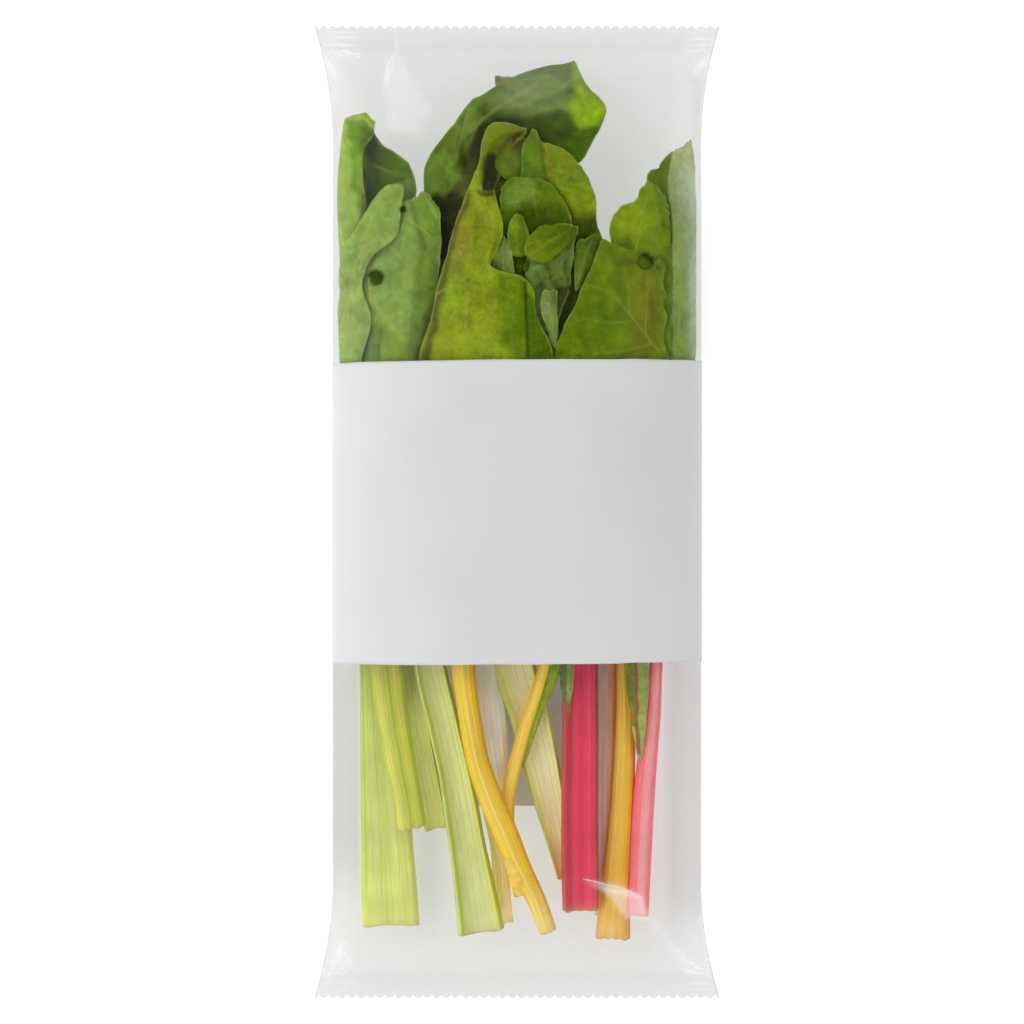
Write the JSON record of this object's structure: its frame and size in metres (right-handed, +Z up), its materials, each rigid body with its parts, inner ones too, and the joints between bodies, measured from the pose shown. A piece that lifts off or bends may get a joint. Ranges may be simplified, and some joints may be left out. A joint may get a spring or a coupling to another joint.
{
  "type": "swiss chard bunch",
  "caption": "Flat-lying bunch of rainbow chard with cut coloured stalks and folded green leaves, held in a clear sealed pillow bag with a plain white band.",
  "frame": {"origin": "on the surface the bag lies on, under the middle of its bounding box", "axes": "+X across the bag, +Y from the cut stalk ends to the leaf tips, +Z up, out of the bag's front"},
  "size_m": [0.1584, 0.38, 0.0397],
  "materials": {
    "film_bag": "clear glossy plastic film",
    "front_band": "satin white film",
    "back_label": "satin white film",
    "stalk_01": "fresh, slightly glossy leaf stalk",
    "stalk_02": "fresh, slightly glossy leaf stalk",
    "stalk_03": "fresh, slightly glossy leaf stalk",
    "stalk_04": "fresh, slightly glossy leaf stalk",
    "stalk_05": "fresh, slightly glossy leaf stalk",
    "stalk_06": "fresh, slightly glossy leaf stalk",
    "stalk_07": "fresh, slightly glossy leaf stalk",
    "stalk_08": "fresh, slightly glossy leaf stalk",
    "stalk_09": "fresh, slightly glossy leaf stalk",
    "stalk_10": "fresh, slightly glossy leaf stalk",
    "stalk_11": "fresh, slightly glossy leaf stalk",
    "blade_01": "fresh leaf, satin",
    "blade_02": "fresh leaf, satin",
    "blade_03": "fresh leaf, satin",
    "blade_04": "fresh leaf, satin",
    "blade_05": "fresh leaf, satin",
    "blade_06": "fresh leaf, satin",
    "blade_07": "fresh leaf, satin",
    "blade_08": "fresh leaf, satin",
    "blade_09": "fresh leaf, satin",
    "blade_10": "fresh leaf, satin",
    "blade_11": "fresh leaf, satin"
  },
  "bodies": {
    "root": {"film_bag": "film_bag", "front_band": "front_band", "back_label": "back_label", "stalk_01": "stalk_01", "stalk_02": "stalk_02", "stalk_03": "stalk_03", "stalk_04": "stalk_04", "stalk_05": "stalk_05", "stalk_06": "stalk_06", "stalk_07": "stalk_07", "stalk_08": "stalk_08", "stalk_09": "stalk_09", "stalk_10": "stalk_10", "stalk_11": "stalk_11", "blade_01": "blade_01", "blade_02": "blade_02", "blade_03": "blade_03", "blade_04": "blade_04", "blade_05": "blade_05", "blade_06": "blade_06", "blade_07": "blade_07", "blade_08": "blade_08", "blade_09": "blade_09", "blade_10": "blade_10", "blade_11": "blade_11"}
  },
  "joints": []
}
